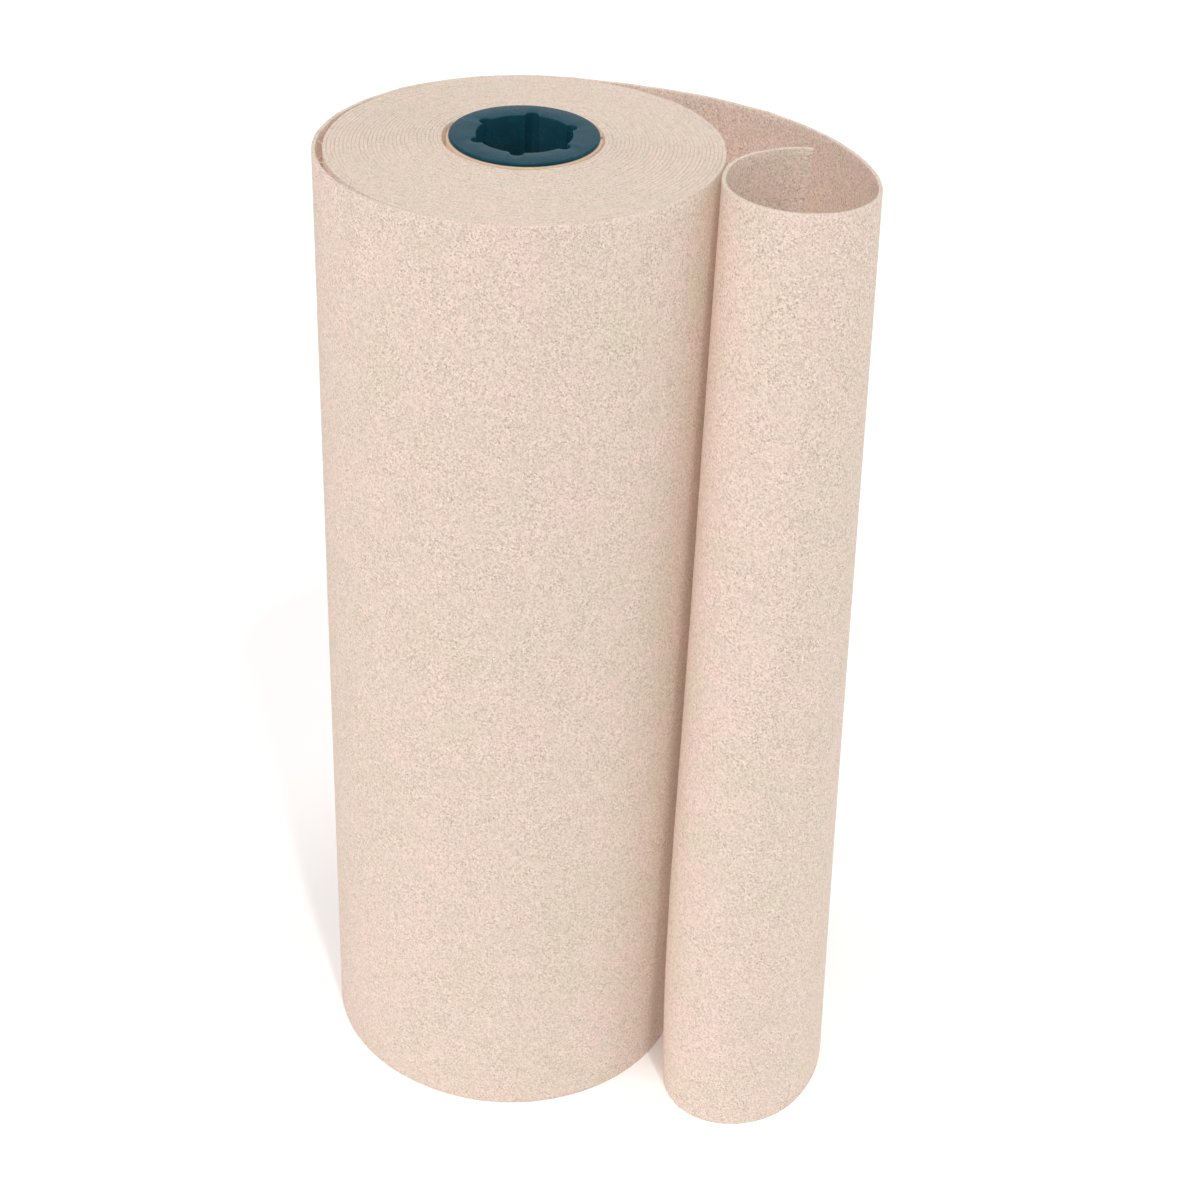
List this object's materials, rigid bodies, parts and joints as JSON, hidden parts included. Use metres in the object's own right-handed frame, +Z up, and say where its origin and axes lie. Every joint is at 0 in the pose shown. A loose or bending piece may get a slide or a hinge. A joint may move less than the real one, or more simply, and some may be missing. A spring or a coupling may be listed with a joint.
{
  "type": "rolled up carpet",
  "caption": "Roll of beige short pile carpet stood on end, on a card tube with a plastic core plug, its loose end curled beside it.",
  "frame": {"origin": "on the floor, under the middle of the whole part's box", "axes": "+Z up along the roll's axis, -Y to the front, +X to the side where the loose end curls"},
  "size_m": [0.536, 0.3878, 1.0103],
  "materials": {
    "carpet": "short felt pile, matt, beige with a pinkish fleck",
    "core_board": "spiral wound grey brown board",
    "plug_plastic": "moulded dark teal plastic, glossy"
  },
  "bodies": {
    "root": {"wound_roll": "carpet", "loose_end": "carpet", "core_tube": "core_board", "core_plug": "plug_plastic"}
  },
  "joints": []
}
